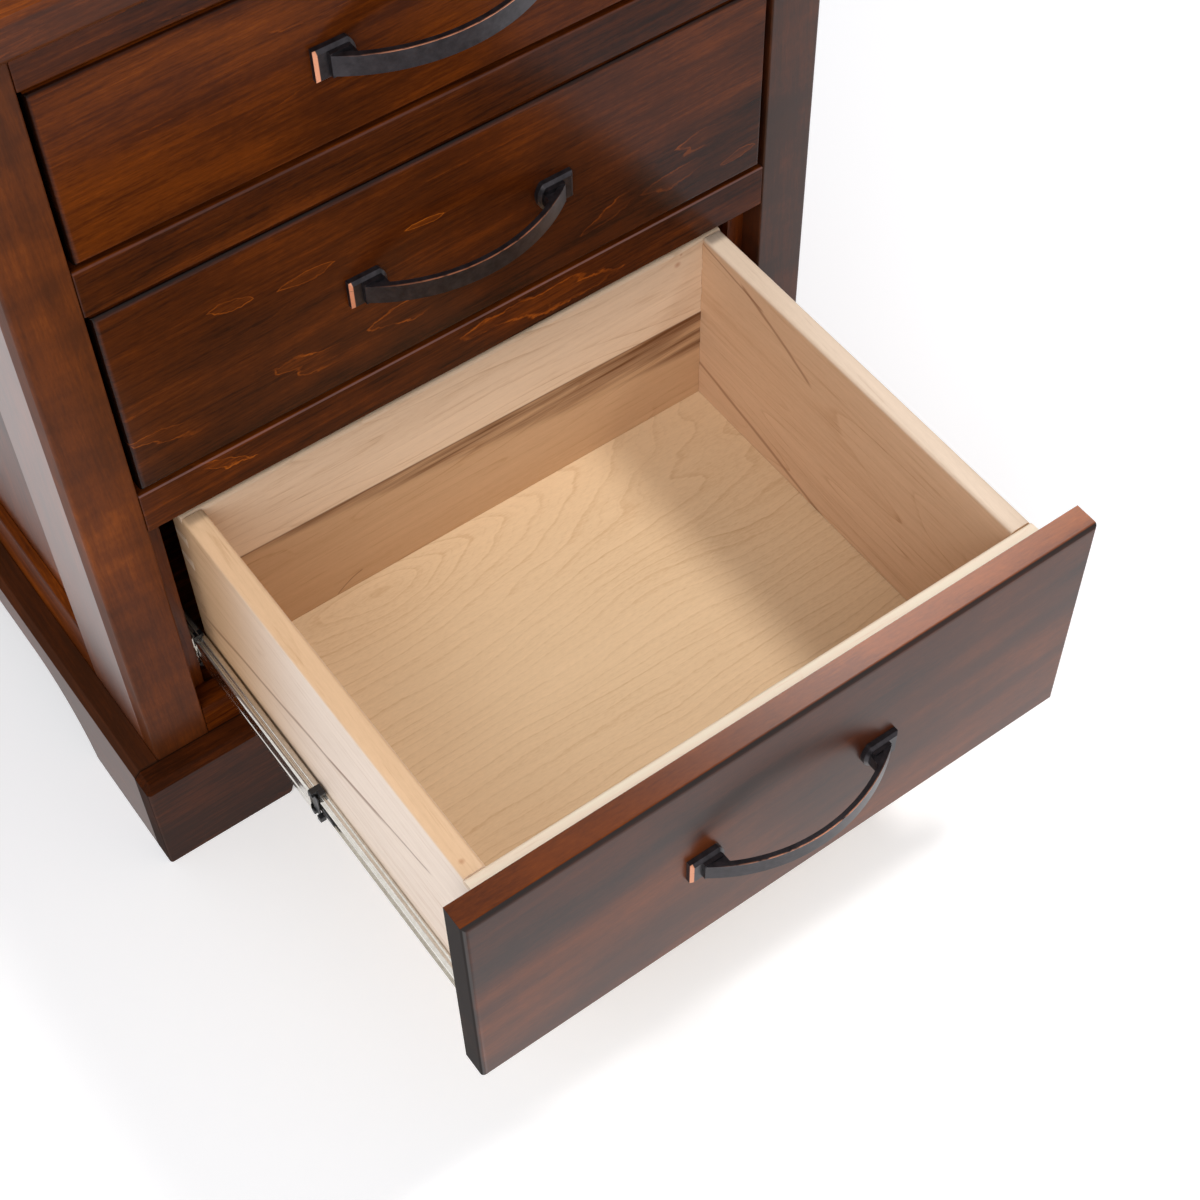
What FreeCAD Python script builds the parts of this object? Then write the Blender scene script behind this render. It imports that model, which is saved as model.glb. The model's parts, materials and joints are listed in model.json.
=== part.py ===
import FreeCAD, Part
import os
import Sketcher

# Three-drawer nightstand in solid maple with a face frame, inset drawers on ball-bearing
# slides and a bracket-foot base. Millimetres. X runs across, -Y is the front, +Z is up.
# The origin is on the floor, at the middle of the back. The bottom drawer stands open.

SIZES = (
    # Case and face frame
    ("case_width", 570),
    ("case_depth", 415),
    ("case_bottom", 64),
    ("stile_width", 41),
    ("frame_thickness", 20),
    ("frame_ease", 1.5),
    ("corner_ease", 2.5),
    ("bottom_rail_show", 28),
    ("rail_height", 35),
    ("top_rail_height", 35),
    ("bottom_opening", 204),
    ("middle_opening", 159),
    ("top_opening", 127),
    # Bracket-foot base
    ("base_height", 98),
    ("base_board", 20),
    ("base_bevel", 5),
    ("foot_front", 103),
    ("foot_side", 113),
    ("arch_height", 57),
    ("arch_radius", 78),
    ("toe_round", 3),
    ("glue_block", 45),
    # Top board
    ("top_thickness", 25),
    ("top_overhang", 20),
    ("top_round", 4),
    # Side frames and their flat panels
    ("side_board", 20),
    ("side_stile", 73),
    ("side_bottom_show", 54),
    ("side_top_rail", 73),
    ("panel_recess", 8),
    ("panel_thickness", 6),
    ("panel_groove", 8),
    ("panel_float", 1),
    # Back, floor and the posts that carry the slides
    ("back_thickness", 6),
    ("back_rabbet", 10),
    ("back_rail", 20),
    ("back_rail_height", 50),
    ("floor_thickness", 12),
    ("floor_drop", 10),
    ("floor_cleat", 20),
    ("post_width", 34.3),
    ("post_depth", 40),
    # Drawer slides: a lipped channel on the post, one in the middle, one on the drawer
    ("slide_space", 12.7),
    ("slide_setback", 2),
    ("slide_end_gap", 4),
    ("slide_overlap", 2),
    ("slide_rise", 26),
    ("carrier_short", 25),
    ("gauge", 1.2),
    ("bend", 2.4),
    ("outer_height", 35),
    ("outer_depth", 9.5),
    ("outer_lip", 3.2),
    ("carrier_height", 26.5),
    ("carrier_depth", 9.2),
    ("carrier_lip", 3),
    ("inner_height", 17),
    ("inner_depth", 7.7),
    ("inner_lip", 2.6),
    ("web_gap", 0.6),
    ("retainer_length", 12),
    ("retainer_gap", 0.8),
    # Drawers
    ("drawer_gap", 3.2),
    ("front_thickness", 20),
    ("front_round", 4),
    ("box_board", 16),
    ("box_back_gap", 13),
    ("box_lift", 4),
    ("box_drop", 15.6),
    ("box_round", 3),
    ("bottom_thickness", 6),
    ("bottom_height", 10),
    ("bottom_groove", 5),
    ("bottom_play", 0.5),
    ("pin_tip", 6),
    ("pin_flare", 2.2),
    # Bow pulls
    ("pull_length", 166),
    ("pull_reach", 33),
    ("strap_height", 14),
    ("strap_thickness", 3.8),
    ("strap_start", 8.5),
    ("strap_lift", 8.2),
    ("pull_foot", 27),
    ("pull_foot_height", 21.5),
    ("pull_foot_bulge", 4.5),
    ("pull_plate", 5.5),
    ("pull_bevel", 2),
    ("pull_step_height", 16.5),
    ("pull_post", 24),
    ("pull_post_height", 10.5),
    ("pull_fillet", 4),
    ("screw_spacing", 128),
    ("screw_clearance", 5),
    ("screw_thread", 4),
    ("thread_depth", 7),
)

doc = FreeCAD.newDocument("nightstand")
sheet = doc.addObject("Spreadsheet::Sheet", "Sizes")
for row, (alias, millimetres) in enumerate(SIZES, start=1):
    sheet.set(f"A{row}", alias)
    sheet.set(f"B{row}", str(millimetres))
    sheet.setAlias(f"B{row}", alias)
doc.recompute()


class Size:
    """A length written as an expression on the sheet, so that what is built from it follows."""

    def __init__(self, text):
        self.text = str(text)

    def join(self, sign, other, swap=False):
        first, second = (other, self) if swap else (self, other)
        parts = [p.text if isinstance(p, Size) else str(p) for p in (first, second)]
        return Size(f"({parts[0]} {sign} {parts[1]})")

    def __add__(self, other):
        return self.join("+", other)

    def __radd__(self, other):
        return self.join("+", other, swap=True)

    def __sub__(self, other):
        return self.join("-", other)

    def __rsub__(self, other):
        return self.join("-", other, swap=True)

    def __mul__(self, other):
        return self.join("*", other)

    def __rmul__(self, other):
        return self.join("*", other, swap=True)

    def __truediv__(self, other):
        return self.join("/", other)

    def __neg__(self):
        return Size(f"(0 - {self.text})")

    def root(self):
        return Size(f"sqrt({self.text})")

    def number(self):
        return float(sheet.evalExpression(self.text))


class Named:
    """Gives each size of the sheet as an attribute."""

    def __getattr__(self, alias):
        return Size(f"Sizes.{alias}")


def as_size(value):
    return value if isinstance(value, Size) else Size(value)


s = Named()


class Piece:
    """One piece of the nightstand: a body whose local origin is placed at a corner or a centre."""

    def __init__(self, label, at=(0, 0, 0), turned=False):
        self.body = doc.addObject("PartDesign::Body", label)
        self.body.Label = label
        if turned:
            self.body.Placement.Rotation = FreeCAD.Rotation(FreeCAD.Vector(0, 0, 1), 180)
        for axis, value in zip("xyz", at):
            self.body.setExpression(f".Placement.Base.{axis}", as_size(value).text)

    def origin_plane(self, role):
        return next(p for p in self.body.Origin.OriginFeatures if p.Role == role)

    def sketch(self, role, outlines, offset=0):
        """A sketch on an origin plane, moved along the plane's normal, with closed outlines."""
        sketch = self.body.newObject("Sketcher::SketchObject", f"{self.body.Name}_sketch")
        sketch.AttachmentSupport = [(self.origin_plane(role), "")]
        sketch.MapMode = "FlatFace"
        sketch.setExpression(".AttachmentOffset.Base.z", as_size(offset).text)
        for outline in outlines:
            draw(sketch, outline)
        return sketch

    def feature(self, kind, profile):
        feature = self.body.newObject(f"PartDesign::{kind}", f"{self.body.Name}_{kind}")
        feature.Profile = profile
        return feature

    def pad(self, role, outlines, length, offset=0, backwards=False, centred=False):
        pad = self.feature("Pad", self.sketch(role, outlines, offset))
        pad.setExpression("Length", as_size(length).text)
        pad.Reversed = backwards
        pad.Midplane = centred
        doc.recompute()
        return pad

    def cut(self, role, outlines, depth, offset=0, backwards=False, centred=False):
        """A pocket that has to take some of the solid away."""
        before = self.body.Shape.Volume
        pocket = self.feature("Pocket", self.sketch(role, outlines, offset))
        pocket.setExpression("Length", as_size(depth).text)
        pocket.Reversed = backwards
        pocket.Midplane = centred
        doc.recompute()
        if self.body.Shape.Volume >= before:
            raise RuntimeError(f"{self.body.Label}: a pocket cuts nothing")
        return pocket

    def bore(self, role, centres, diameter, depth, backwards=False):
        """Round holes of one diameter, centred on the given points of an origin plane."""
        before = self.body.Shape.Volume
        sketch = self.sketch(role, [])
        for x, y in centres:
            centre = FreeCAD.Vector(as_size(x).number(), as_size(y).number(), 0)
            radius = (diameter / 2).number()
            circle = Part.Circle(centre, FreeCAD.Vector(0, 0, 1), radius)
            index = sketch.addGeometry(circle, False)
            bind(sketch, Sketcher.Constraint("Diameter", index, 2 * radius), diameter)
            bind(sketch, Sketcher.Constraint("DistanceX", -1, 1, index, 3, centre.x), as_size(x))
            if abs(centre.y) < 1e-6:
                sketch.addConstraint(Sketcher.Constraint("PointOnObject", index, 3, -1))
            else:
                limit = Sketcher.Constraint("DistanceY", -1, 1, index, 3, centre.y)
                bind(sketch, limit, as_size(y))
        pocket = self.feature("Pocket", sketch)
        pocket.setExpression("Length", as_size(depth).text)
        pocket.Reversed = backwards
        doc.recompute()
        if self.body.Shape.Volume >= before:
            raise RuntimeError(f"{self.body.Label}: a bore cuts nothing")
        return pocket

    def edges_at(self, planes):
        """Names of the edges that lie in all the given planes, such as x=0, z=height."""
        wanted = {axis.upper(): as_size(value).number() for axis, value in planes.items()}
        names = []
        for index, edge in enumerate(self.body.Tip.Shape.Edges, start=1):
            box = edge.BoundBox
            ends = [(getattr(box, f"{a}Min"), getattr(box, f"{a}Max"), v) for a, v in wanted.items()]
            if all(abs(low - v) < 0.01 and abs(high - v) < 0.01 for low, high, v in ends):
                names.append(f"Edge{index}")
        if not names:
            raise RuntimeError(f"{self.body.Label}: no edge lies at {planes}")
        return names

    def dress(self, kind, prop, size, *places):
        names = sorted({name for planes in places for name in self.edges_at(planes)})
        base = self.body.Tip
        feature = self.body.newObject(f"PartDesign::{kind}", f"{self.body.Name}_{kind}")
        feature.Base = (base, names)
        feature.setExpression(prop, as_size(size).text)
        doc.recompute()
        return feature

    def round_over(self, radius, *places):
        return self.dress("Fillet", "Radius", radius, *places)

    def bevel(self, width, *places):
        return self.dress("Chamfer", "Size", width, *places)

    def repeat_up(self, feature, spacing, count):
        """Copies a feature upwards at an even spacing."""
        pattern = self.body.newObject("PartDesign::LinearPattern", f"{self.body.Name}_pattern")
        pattern.Originals = [feature]
        pattern.Direction = (self.origin_plane("Z_Axis"), [""])
        pattern.setExpression("Length", (spacing * (count - 1)).text)
        pattern.Occurrences = count
        self.body.Tip = pattern
        doc.recompute()
        return pattern

    def mirror_across(self, features):
        """Adds the matching features on the other side of the middle."""
        mirror = self.body.newObject("PartDesign::Mirrored", f"{self.body.Name}_mirror")
        mirror.Originals = features
        mirror.MirrorPlane = (self.origin_plane("YZ_Plane"), [""])
        self.body.Tip = mirror
        doc.recompute()
        return mirror


def draw(sketch, outline):
    """Draws a closed outline. A point is (x, y), or (x, y, radius, turn) where an arc leaves it,
    with its centre to the left (turn 1) or the right (turn -1) of the way to the next point."""
    points = [(as_size(p[0]), as_size(p[1])) for p in outline]
    spots = [FreeCAD.Vector(x.number(), y.number(), 0) for x, y in points]
    first = sketch.GeometryCount
    starts = []
    ends = []
    for index, point in enumerate(outline):
        here = spots[index]
        there = spots[(index + 1) % len(spots)]
        geometry = first + index
        if len(point) == 2:
            sketch.addGeometry(Part.LineSegment(here, there), False)
            starts.append((geometry, 1))
            ends.append((geometry, 2))
            continue
        radius, turn = as_size(point[2]).number(), point[3]
        chord = there - here
        height = (radius ** 2 - (chord.Length / 2) ** 2) ** 0.5
        across = FreeCAD.Vector(-chord.y, chord.x, 0).normalize() * (turn * height)
        centre = (here + there) / 2 + across
        middle = centre - across.normalize() * radius
        sketch.addGeometry(Part.Arc(here, middle, there), False)
        starts.append((geometry, 1 if turn > 0 else 2))
        ends.append((geometry, 2 if turn > 0 else 1))
        bind(sketch, Sketcher.Constraint("Radius", geometry, radius), as_size(point[2]))
    count = len(points)
    for index in range(count):
        sketch.addConstraint(Sketcher.Constraint("Coincident", *ends[index - 1], *starts[index]))
    for way, vertical, axis in ((0, "Vertical", -2), (1, "Horizontal", -1)):
        seen = {}
        for index, point in enumerate(points):
            text = point[way].text
            if text in seen:
                pair = (*starts[seen[text]], *starts[index])
                sketch.addConstraint(Sketcher.Constraint(vertical, *pair))
                continue
            seen[text] = index
            value = spots[index][way]
            if abs(value) < 1e-6:
                sketch.addConstraint(Sketcher.Constraint("PointOnObject", *starts[index], axis))
            else:
                kind = "DistanceX" if way == 0 else "DistanceY"
                limit = Sketcher.Constraint(kind, -1, 1, *starts[index], value)
                bind(sketch, limit, point[way])


def bind(sketch, constraint, size):
    number = sketch.addConstraint(constraint)
    sketch.setExpression(f"Constraints[{number}]", size.text)


def rectangle(x_low, y_low, x_high, y_high):
    return [(x_low, y_low), (x_high, y_low), (x_high, y_high), (x_low, y_high)]


def board(label, width, depth, height, at, turned=False):
    """A plain board, placed by its lowest corner."""
    piece = Piece(label, at, turned)
    piece.pad("XY_Plane", [rectangle(0, 0, width, depth)], height)
    return piece


def flip(outline, width=0):
    """The same outline for the other side, mirrored between x = 0 and x = width."""
    return [(width - as_size(p[0]), p[1], *p[2:3], *[-turn for turn in p[3:]]) for p in outline]


# Levels and planes that several pieces share
half_case = s.case_width / 2
front_plane = -s.case_depth
frame_back = front_plane + s.frame_thickness
bottom_opening_low = s.base_height + s.bottom_rail_show
middle_opening_low = bottom_opening_low + s.bottom_opening + s.rail_height
top_opening_low = middle_opening_low + s.middle_opening + s.rail_height
case_top = top_opening_low + s.top_opening + s.top_rail_height
case_height = case_top - s.case_bottom
opening_width = s.case_width - 2 * s.stile_width
inner_half = half_case - s.side_board
back_face = -s.back_thickness
floor_top = bottom_opening_low - s.floor_drop
post_face = inner_half - s.post_width
box_half = post_face - s.slide_space
box_depth = s.case_depth - s.front_thickness - s.back_thickness - s.back_rail - s.box_back_gap
slide_length = box_depth - s.slide_setback - s.slide_end_gap
slide_travel = slide_length - s.slide_overlap
carrier_length = slide_length - s.carrier_short


def make_top_board():
    """The top overhangs the front and both sides and is flush at the back."""
    width = s.case_width + 2 * s.top_overhang
    depth = s.case_depth + s.top_overhang
    at = (-half_case - s.top_overhang, -depth, case_top)
    top = board("top_board", width, depth, s.top_thickness, at)
    high = s.top_thickness
    top.round_over(s.top_round, {"y": 0, "z": high}, {"x": 0, "z": high}, {"x": width, "z": high},
                   {"y": 0, "z": 0}, {"x": 0, "z": 0}, {"x": width, "z": 0})


def make_face_frame():
    """Two stiles run full height and four rails stand between them, flush at the front."""
    for side, low in (("left", -half_case), ("right", half_case - s.stile_width)):
        at = (low, front_plane, s.case_bottom)
        stile = board(f"face_stile_{side}", s.stile_width, s.frame_thickness, case_height, at)
        outer, inner = (0, s.stile_width) if side == "left" else (s.stile_width, 0)
        stile.round_over(s.corner_ease, {"x": outer, "y": 0})
        stile.round_over(s.frame_ease, {"x": inner, "y": 0})
    rails = (
        ("bottom", s.case_bottom, bottom_opening_low - s.case_bottom),
        ("lower", middle_opening_low - s.rail_height, s.rail_height),
        ("upper", top_opening_low - s.rail_height, s.rail_height),
        ("top", case_top - s.top_rail_height, s.top_rail_height),
    )
    for name, low, height in rails:
        at = (-opening_width / 2, front_plane, low)
        rail = board(f"face_rail_{name}", opening_width, s.frame_thickness, height, at)
        rail.round_over(s.frame_ease, {"y": 0, "z": 0}, {"y": 0, "z": height})


def make_side_frame(side):
    """A frame of two grooved stiles and two grooved rails holds a flat recessed panel."""
    thick = s.side_board
    low = -half_case if side == "left" else half_case - thick
    near = s.panel_recess
    far = s.panel_recess + s.panel_thickness
    deep = s.panel_groove
    wide = s.side_stile
    opening = s.case_depth - s.frame_thickness - 2 * wide
    bottom_height = s.base_height + s.side_bottom_show - s.case_bottom
    panel_low = s.case_bottom + bottom_height
    panel_high = case_top - s.side_top_rail
    outer = 0 if side == "left" else thick

    def handed(outline):
        return outline if side == "left" else flip(outline, thick)

    groove_back = [(0, 0), (thick, 0), (thick, wide), (far, wide), (far, wide - deep),
                   (near, wide - deep), (near, wide), (0, wide)]
    front = Piece(f"side_{side}_front_stile", (low, frame_back, s.case_bottom))
    front.pad("XY_Plane", [handed(groove_back)], case_height)
    front.round_over(s.frame_ease, {"x": outer, "y": wide})

    rabbet = thick - s.back_rabbet
    groove_front = [(0, 0), (near, 0), (near, deep), (far, deep), (far, 0), (thick, 0),
                    (thick, wide - s.back_thickness), (rabbet, wide - s.back_thickness),
                    (rabbet, wide), (0, wide)]
    rear = Piece(f"side_{side}_rear_stile", (low, -wide, s.case_bottom))
    rear.pad("XY_Plane", [handed(groove_front)], case_height)
    rear.round_over(s.frame_ease, {"x": outer, "y": 0})

    for name, base, height in (("bottom", s.case_bottom, bottom_height),
                               ("top", panel_high, s.side_top_rail)):
        if name == "bottom":
            section = [(0, 0), (thick, 0), (thick, height), (far, height), (far, height - deep),
                       (near, height - deep), (near, height), (0, height)]
            tongue = rectangle(near, 0, far, height - deep)
            arris = height
        else:
            section = [(0, 0), (near, 0), (near, deep), (far, deep), (far, 0), (thick, 0),
                       (thick, height), (0, height)]
            tongue = rectangle(near, deep, far, height)
            arris = 0
        rail = Piece(f"side_{side}_{name}_rail", (low, frame_back + wide, base))
        rail.pad("XZ_Plane", [handed(section)], opening, backwards=True)
        rail.pad("XZ_Plane", [handed(tongue)], opening + 2 * deep, offset=deep, backwards=True)
        rail.round_over(s.frame_ease, {"x": outer, "z": arris})

    reach = deep - s.panel_float
    panel_x = low + near if side == "left" else low + thick - far
    at = (panel_x, frame_back + wide - reach, panel_low - reach)
    board(f"side_{side}_panel", s.panel_thickness, opening + 2 * reach,
          panel_high - panel_low + 2 * reach, at)


def make_back_and_floor():
    """A thin back sits in the rear stiles' rabbets, and a plywood floor on cleats."""
    back_half = half_case - s.side_board + s.back_rabbet
    board("back_panel", 2 * back_half, s.back_thickness, case_height,
          (-back_half, back_face, s.case_bottom))
    rails = Piece("back_rails", (-inner_half, back_face - s.back_rail, 0))
    floor_low = floor_top - s.floor_thickness
    width = 2 * inner_half
    rails.pad("XZ_Plane", [rectangle(0, s.case_bottom, width, floor_low),
                           rectangle(0, case_top - s.back_rail_height, width, case_top)],
              s.back_rail, backwards=True)
    board("case_floor", width, back_face - frame_back, s.floor_thickness,
          (-inner_half, frame_back, floor_low))
    cleats = Piece("floor_cleats", (0, frame_back, floor_low - s.floor_cleat))
    length = back_face - s.back_rail - frame_back
    strip = cleats.pad("XY_Plane", [rectangle(-inner_half, 0, s.floor_cleat - inner_half, length)],
                       s.floor_cleat)
    cleats.mirror_across([strip])


def make_slide_posts():
    """Four posts stand on the floor panel and bring the slides out past the stiles."""
    posts = Piece("slide_posts", (0, frame_back, floor_top))
    rear = s.slide_setback + slide_length
    pair = posts.pad("XY_Plane", [rectangle(-inner_half, 0, -post_face, s.post_depth),
                                  rectangle(-inner_half, rear - s.post_depth, -post_face, rear)],
                     case_top - floor_top)
    posts.mirror_across([pair])


def arched(length, foot, height):
    """A base board's outline: two bracket feet with a flat-topped arch between them."""
    drop = s.arch_radius - s.arch_height
    reach = (s.arch_radius * s.arch_radius - drop * drop).root()
    far = length - foot
    return [(0, 0), (foot, 0, s.arch_radius, -1), (foot + reach, s.arch_height),
            (far - reach, s.arch_height, s.arch_radius, -1), (far, 0), (length, 0),
            (length, height), (0, height)]


def make_base():
    """The front board runs past the side boards, so its ends show on the sides."""
    width = s.case_width + 2 * s.base_board
    high = s.base_height
    front = Piece("base_front_board", (-half_case - s.base_board, front_plane - s.base_board, 0))
    front.pad("XZ_Plane", [arched(width, s.foot_front, high)], s.base_board, backwards=True)
    front.round_over(s.toe_round, {"x": s.foot_front, "z": 0}, {"x": width - s.foot_front, "z": 0})
    front.bevel(s.base_bevel, {"y": 0, "z": high}, {"x": 0, "z": high}, {"x": width, "z": high})
    front.round_over(s.corner_ease, {"x": 0, "y": 0}, {"x": width, "y": 0})
    foot = s.foot_side - s.base_board
    for side, low in (("left", -half_case - s.base_board), ("right", half_case)):
        piece = Piece(f"base_{side}_board", (low, front_plane, 0))
        piece.pad("YZ_Plane", [arched(s.case_depth, foot, high)], s.base_board)
        piece.round_over(s.toe_round, {"y": foot, "z": 0}, {"y": s.case_depth - foot, "z": 0})
        outer = 0 if side == "left" else s.base_board
        piece.bevel(s.base_bevel, {"x": outer, "z": high})
    back = Piece("base_back_board", (-half_case, -s.base_board, 0))
    back.pad("XZ_Plane", [arched(s.case_width, s.foot_front - s.base_board, s.case_bottom)],
             s.base_board, backwards=True)
    blocks = Piece("base_glue_blocks")
    size = s.glue_block
    rear_high = -s.base_board
    pair = blocks.pad("XY_Plane", [
        rectangle(-half_case, front_plane, size - half_case, front_plane + size),
        rectangle(-half_case, rear_high - size, size - half_case, rear_high)], s.case_bottom)
    blocks.mirror_across([pair])


def channel(x, wall, reach, height, lip):
    """A lipped channel's section: its web at x, its flanges reaching to one side of it."""
    high = height / 2
    tip = x + reach
    inside = x + wall
    tip_inside = tip - wall
    return [(x, -high), (tip, -high), (tip, lip - high), (tip_inside, lip - high),
            (tip_inside, s.gauge - high), (inside, s.gauge - high), (inside, high - s.gauge),
            (tip_inside, high - s.gauge), (tip_inside, high - lip), (tip, high - lip),
            (tip, high), (x, high)]


def make_slide_member(label, front, level, x, opens, depth, height, lip, length):
    """A pair of rolled channels, left and right, with rounded bends at the web. The left one
    opens towards +x where opens is 1, and towards -x where it is -1."""
    member = Piece(label, (0, front, level))
    section = channel(x, opens * s.gauge, opens * depth, height, lip)
    pad = member.pad("XZ_Plane", [section], length, backwards=True)
    bends = [{"x": x, "z": -height / 2}, {"x": x, "z": height / 2}]
    bent = member.round_over(s.bend, *bends)
    member.mirror_across([pad, bent])
    return member


def make_slides(name, level, opened):
    """The fixed, middle and drawer members of one drawer's two slides."""
    front = frame_back + s.slide_setback
    make_slide_member(f"slide_outer_{name}", front, level, -post_face, 1, s.outer_depth,
                      s.outer_height, s.outer_lip, slide_length)
    carrier_front = front + slide_length - carrier_length - opened / 2
    web = s.gauge + s.web_gap - post_face
    make_slide_member(f"slide_intermediate_{name}", carrier_front, level, web, 1, s.carrier_depth,
                      s.carrier_height, s.carrier_lip, carrier_length)
    retainer = Piece(f"slide_retainers_{name}", (0, carrier_front, level))
    half = s.carrier_height / 2
    notch = s.inner_height / 2 + s.retainer_gap
    tip = web + s.carrier_depth
    floor = -box_half - s.inner_depth - s.retainer_gap
    collar = [(web, -half), (tip, -half), (tip, -notch), (floor, -notch), (floor, notch),
              (tip, notch), (tip, half), (web, half)]
    pad = retainer.pad("XZ_Plane", [collar], s.retainer_length)
    retainer.mirror_across([pad])
    make_slide_member(f"slide_inner_{name}", front - opened, level, -box_half, -1,
                      s.inner_depth, s.inner_height, s.inner_lip, slide_length)


def make_box_side(label, height, tails, at, turned):
    """A drawer side: tails at both ends, a stopped groove for the bottom, a rounded top edge."""
    thick = s.box_board
    pitch = height / tails
    half = s.pin_tip / 2
    wide = half + s.pin_flare
    length = box_depth
    side = board(label, thick, length, height, at, turned)
    side.round_over(s.box_round, {"x": 0, "z": height}, {"x": thick, "z": height})
    inset = thick - s.bottom_groove
    side.cut("YZ_Plane", [rectangle(inset, s.bottom_height, length - inset,
                                    s.bottom_height + s.bottom_thickness)],
             s.bottom_groove, offset=thick)
    sockets = side.cut("YZ_Plane", [
        [(0, -half), (thick, -wide), (thick, wide), (0, half)],
        [(length, -half), (length, half), (length - thick, wide), (length - thick, -wide)]],
        thick, offset=thick)
    side.repeat_up(sockets, pitch, tails + 1)


def make_box_end(label, height, tails, at, turned):
    """A drawer box's front or back: pins at both ends and a groove for the bottom."""
    thick = s.box_board
    pitch = height / tails
    outer = (pitch - s.pin_tip) / 2
    inner = outer - s.pin_flare
    width = 2 * box_half
    end = board(label, width, thick, height, at, turned)
    end.round_over(s.box_round, {"y": 0, "z": height}, {"y": thick, "z": height})
    end.cut("XZ_Plane", [rectangle(0, s.bottom_height, width,
                                   s.bottom_height + s.bottom_thickness)],
            s.bottom_groove)
    level = pitch / 2
    tail = [(0, level - inner), (thick, level - outer), (thick, level + outer), (0, level + inner)]
    left = end.cut("YZ_Plane", [tail], thick, offset=thick)
    end.repeat_up(left, pitch, tails)
    right = end.cut("YZ_Plane", [tail], thick, offset=width)
    end.repeat_up(right, pitch, tails)
    return end


def make_pull(name, y, z):
    """A bow pull: an arched strap on two bevelled feet, with a post and a tapped hole in each."""
    pull = Piece(f"pull_{name}", (0, y, z))
    half = s.pull_length / 2
    plate = s.pull_plate
    high = s.pull_foot_height / 2
    start = half - s.strap_start
    rise = s.pull_reach - s.strap_lift
    outer = (start * start + rise * rise) / (2 * rise)
    inner = outer - s.strap_thickness
    crown = outer - s.pull_reach
    root = crown - (inner * inner - start * start).root()

    def on_both_sides(outline):
        return [outline, flip(outline)]

    bulge = s.pull_foot_bulge
    shoulder = half - s.pull_foot + bulge
    bow = (high * high + bulge * bulge) / (2 * bulge)
    pull.pad("XZ_Plane", on_both_sides([
        (-half, -high), (-shoulder, -high, bow, 1), (-shoulder, high), (-half, high)]), plate)
    pull.bevel(s.pull_bevel, {"y": -plate})
    step = s.pull_step_height / 2
    pull.pad("XZ_Plane", on_both_sides(rectangle(-start, -step, -shoulder, step)),
             s.strap_lift - plate, offset=plate)
    pull.pad("XY_Plane", [[(-start, -s.strap_lift, outer, 1), (start, -s.strap_lift),
                           (start, root, inner, -1), (-start, root)]],
             s.strap_height, centred=True)
    inside = half - s.pull_post
    fillet = s.pull_fillet
    reach = inner - fillet
    bend = crown - (reach * reach - (inside - fillet) * (inside - fillet)).root()
    middle = inner + s.strap_thickness / 2
    post = [(-inside, -plate / 2), (-start, -plate / 2),
            (-start, crown - (middle * middle - start * start).root(), middle, 1),
            ((fillet - inside) * middle / reach, crown - (crown - bend) * middle / reach),
            ((fillet - inside) * inner / reach, crown - (crown - bend) * inner / reach, fillet, -1),
            (-inside, bend)]
    pull.pad("XY_Plane", on_both_sides(post), s.pull_post_height, centred=True)
    pull.bore("XZ_Plane", [(-s.screw_spacing / 2, 0), (s.screw_spacing / 2, 0)],
              s.screw_thread, s.thread_depth, backwards=True)


def bore_for_pull(board, width, level):
    """Two clearance holes for the pull's screws, through a board."""
    centres = [(width / 2 - s.screw_spacing / 2, level), (width / 2 + s.screw_spacing / 2, level)]
    board.bore("XZ_Plane", centres, s.screw_clearance, s.front_thickness)


def make_drawer(name, low, opening, tails, opened):
    """A drawer: an applied front, a dovetailed box with a plywood bottom, a pull and slides."""
    face = front_plane - opened
    height = opening - 2 * s.drawer_gap
    width = opening_width - 2 * s.drawer_gap
    front_low = low + s.drawer_gap
    front = board(f"drawer_{name}_front", width, s.front_thickness, height,
                  (-width / 2, face, front_low))
    front.round_over(s.front_round, {"y": 0})
    bore_for_pull(front, width, height / 2)
    box_low = front_low + s.box_lift
    box_height = height - s.box_lift - s.box_drop
    box_face = face + s.front_thickness
    box_back = box_face + box_depth
    thick = s.box_board
    make_box_side(f"drawer_{name}_left_side", box_height, tails,
                  (-box_half, box_face, box_low), False)
    make_box_side(f"drawer_{name}_right_side", box_height, tails,
                  (box_half, box_back, box_low), True)
    box_front = make_box_end(f"drawer_{name}_box_front", box_height, tails,
                             (box_half, box_face + thick, box_low), True)
    bore_for_pull(box_front, 2 * box_half, height / 2 - s.box_lift)
    make_box_end(f"drawer_{name}_back", box_height, tails,
                 (-box_half, box_back - thick, box_low), False)
    reach = thick - s.bottom_groove + s.bottom_play
    board(f"drawer_{name}_bottom", 2 * box_half - 2 * reach, box_depth - 2 * reach,
          s.bottom_thickness, (reach - box_half, box_face + reach, box_low + s.bottom_height))
    make_pull(name, face, front_low + height / 2)
    make_slides(name, box_low + s.slide_rise, opened)


def write_parts():
    """Checks every object and writes each piece to its own file."""
    doc.recompute()
    broken = [o.Label for o in doc.Objects if "Invalid" in o.State or "Error" in o.State]
    if broken:
        raise RuntimeError(f"these objects failed: {broken}")
    pieces = [o for o in doc.Objects if o.TypeId == "PartDesign::Body"]
    os.makedirs("parts", exist_ok=True)
    for piece in pieces:
        if piece.Shape.isNull() or not piece.Shape.isValid():
            raise RuntimeError(f"{piece.Label} has no valid shape")
    for piece in pieces:
        piece.Shape.exportStep(f"parts/{piece.Label}.step")
    print(f"{len(pieces)} pieces written")


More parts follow.
